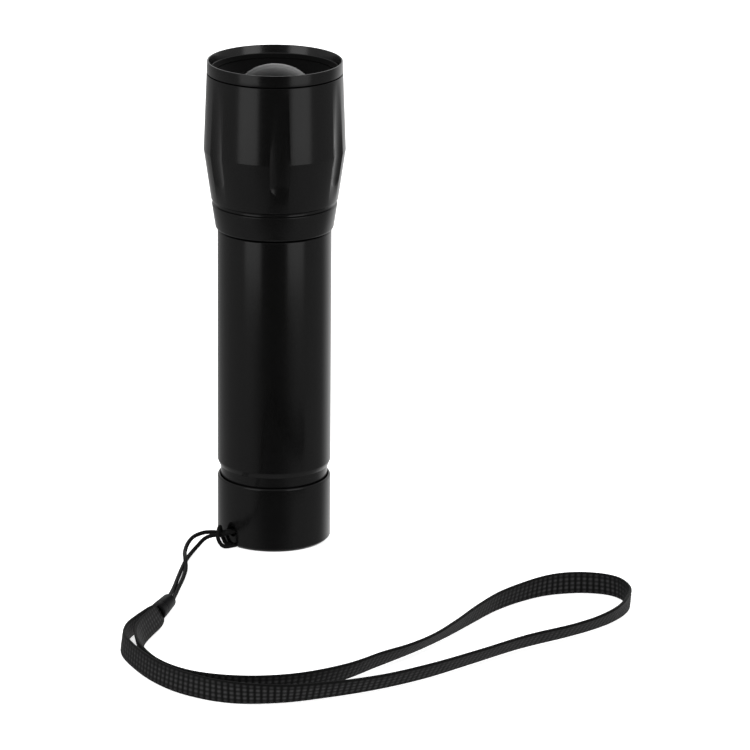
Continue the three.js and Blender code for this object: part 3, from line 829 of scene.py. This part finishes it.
def yarn(name, across, along, shaded_hollow, highlit_crest, depth):
    """Filament nylon: black yarns with a low sheen, with painted shade in the hollows of the weave
    and a painted highlight on its crests. The UV map runs in millimetres along, and the threads are
    drawn a little coarser than real ones to show."""
    made, tree, shader = new_material(name, IOR=1.53, Specular_IOR_Level=0.2)
    run = add_node(tree, "ShaderNodeUVMap", {"uv_map": "run"})
    threads = add_node(tree, "ShaderNodeMapping", {}, {"Vector": run, "Scale": (along, across, 1)})
    spun = {"Vector": threads, "Scale": 1.0, "Detail": 4.0, "Roughness": 0.65}
    fibre = add_node(tree, "ShaderNodeTexNoise", {}, spun)
    lift_shade = add_node(tree, "ShaderNodeAttribute", {"attribute_name": "lift_shade"}).outputs["Fac"]
    bright = add_node(tree, "ShaderNodeMapRange", {}, {"Value": fibre, **limits(0.55, 1.0)})
    # Painted shade and highlight: the colour runs from the hollow colour at the weave's low points
    # to the crest colour at its high points, times a random fibre tone.
    shade = add_node(tree, "ShaderNodeMath", {"operation": "MULTIPLY"}, {0: lift_shade, 1: bright})
    dress(tree, shader, shade, (shaded_hollow, highlit_crest), fibre, (0.48, 0.7), fibre, depth)
    return made


anodised = black_anodised("black_anodised_aluminium", 0.5)
bright_cut = black_anodised("bright_cut_black_anodising", 1.0)
aluminium = plain_aluminium()
brass = turned_brass()
steel = spring_steel()
rubber = black_rubber()
dull_plastic = black_plastic("moulded_abs", 0.45, 0.012)
soft_plastic = black_plastic("moulded_soft_vinyl", 0.4, 0.004, 0.05)
board = circuit_board()
mask = white_mask()
nylon_white = white_plastic()
phosphor = led_phosphor()
acrylic = lens_acrylic()
jacket = cell_jacket()
# The first colour of each yarn is painted shade for the weave's hollows, the second a painted
# highlight for its crests.
cord_yarn = yarn("braided_nylon", 24, 1.5, "#020202", "#0a0a0a", 0.03)
strap_yarn = yarn("woven_nylon", 60, 3.0, "#030303", "#3a3a3b", 0.05)
dark_inside = matt_anodised()

# ---------------------------------------------------------------- assembly

finished(tail_cap(), anodised, "tail_cap", "black_anodised", "tail_cap")
finished(barrel_tube(), anodised, "barrel", "black_anodised", "barrel_tube")
finished(head_shell(), anodised, "head", "black_anodised", "head_shell")
bezel = finished(bezel_ring(), anodised, "head", "black_anodised", "bezel_ring")
bezel.data.materials.append(dark_inside)
bezel.data.materials.append(bright_cut)
for face in bezel.data.polygons:
    if math.hypot(face.center.x, face.center.y) < BEZEL_INSIDE_R * MM:
        face.material_index = 1 if face.center.z < LIP_Z * MM else 2
finished(lens(), acrylic, "head", "lens_acrylic", "lens")

# Each seal: its node, its body, its inner and outer radius, and its bottom and top.
SEALS = [
    ("lens_gasket", "head", 11.9, 13.2, 109.8, 110.7),
    ("focus_oring", "focus_oring", 11.85, 12.75, 89.9, 90.9),
    ("tail_oring", "tail_oring", 12.05, 12.82, 13.65, 14.65),
]
for node, body, *sizes in SEALS:
    finished(oring(f"{node}_round", *sizes), rubber, body, "rubber", node)

boot = finished(tail_boot(), rubber, None, "rubber", "button_boot", "boot_flange")
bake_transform(boot)

led_base, led_dome = led_package()
finished(led_base, nylon_white, "barrel", "white_plastic")
finished(led_dome, phosphor, "barrel", "white_plastic")
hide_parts("led_emitter")
finished(led_board(), mask, "barrel", "circuit_board", "led_board")

ferrule_piece = finished(ferrule(), soft_plastic, "tail_cap", "black_plastic", "cord_ferrule")
for piece, yarns, slot, node in (
    (cord, cord_yarn, "cord_nylon", "wrist_cord"),
    (strap, strap_yarn, "strap_nylon", "wrist_strap"),
):
    piece.data.materials.append(yarns)
    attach(piece, "tail_cap")
    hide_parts(node)

# CAD nodes that stay as they are, each with the finish of the real piece.
KEPT = {
    "boot_retaining_ring": brass, "switch_body": dull_plastic, "switch_board": board,
    "tail_spring": steel, "switch_plunger": nylon_white, "led_pill": aluminium,
    "driver_board": board, "driver_spring": steel, "led_retainer": dull_plastic,
    "carrier_frame": dull_plastic, "carrier_cap": dull_plastic, "carrier_top_terminal": brass,
    "carrier_bottom_terminal": brass, "carrier_bottom_link": steel, "carrier_top_link": steel,
    "cell_1": jacket, "cell_2": jacket, "cell_3": jacket,
    "cell_spring_1": steel, "cell_spring_2": steel, "cell_spring_3": steel,
}
for name, material in KEPT.items():
    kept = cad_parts[name]
    kept.data.materials.clear()
    kept.data.materials.append(material)
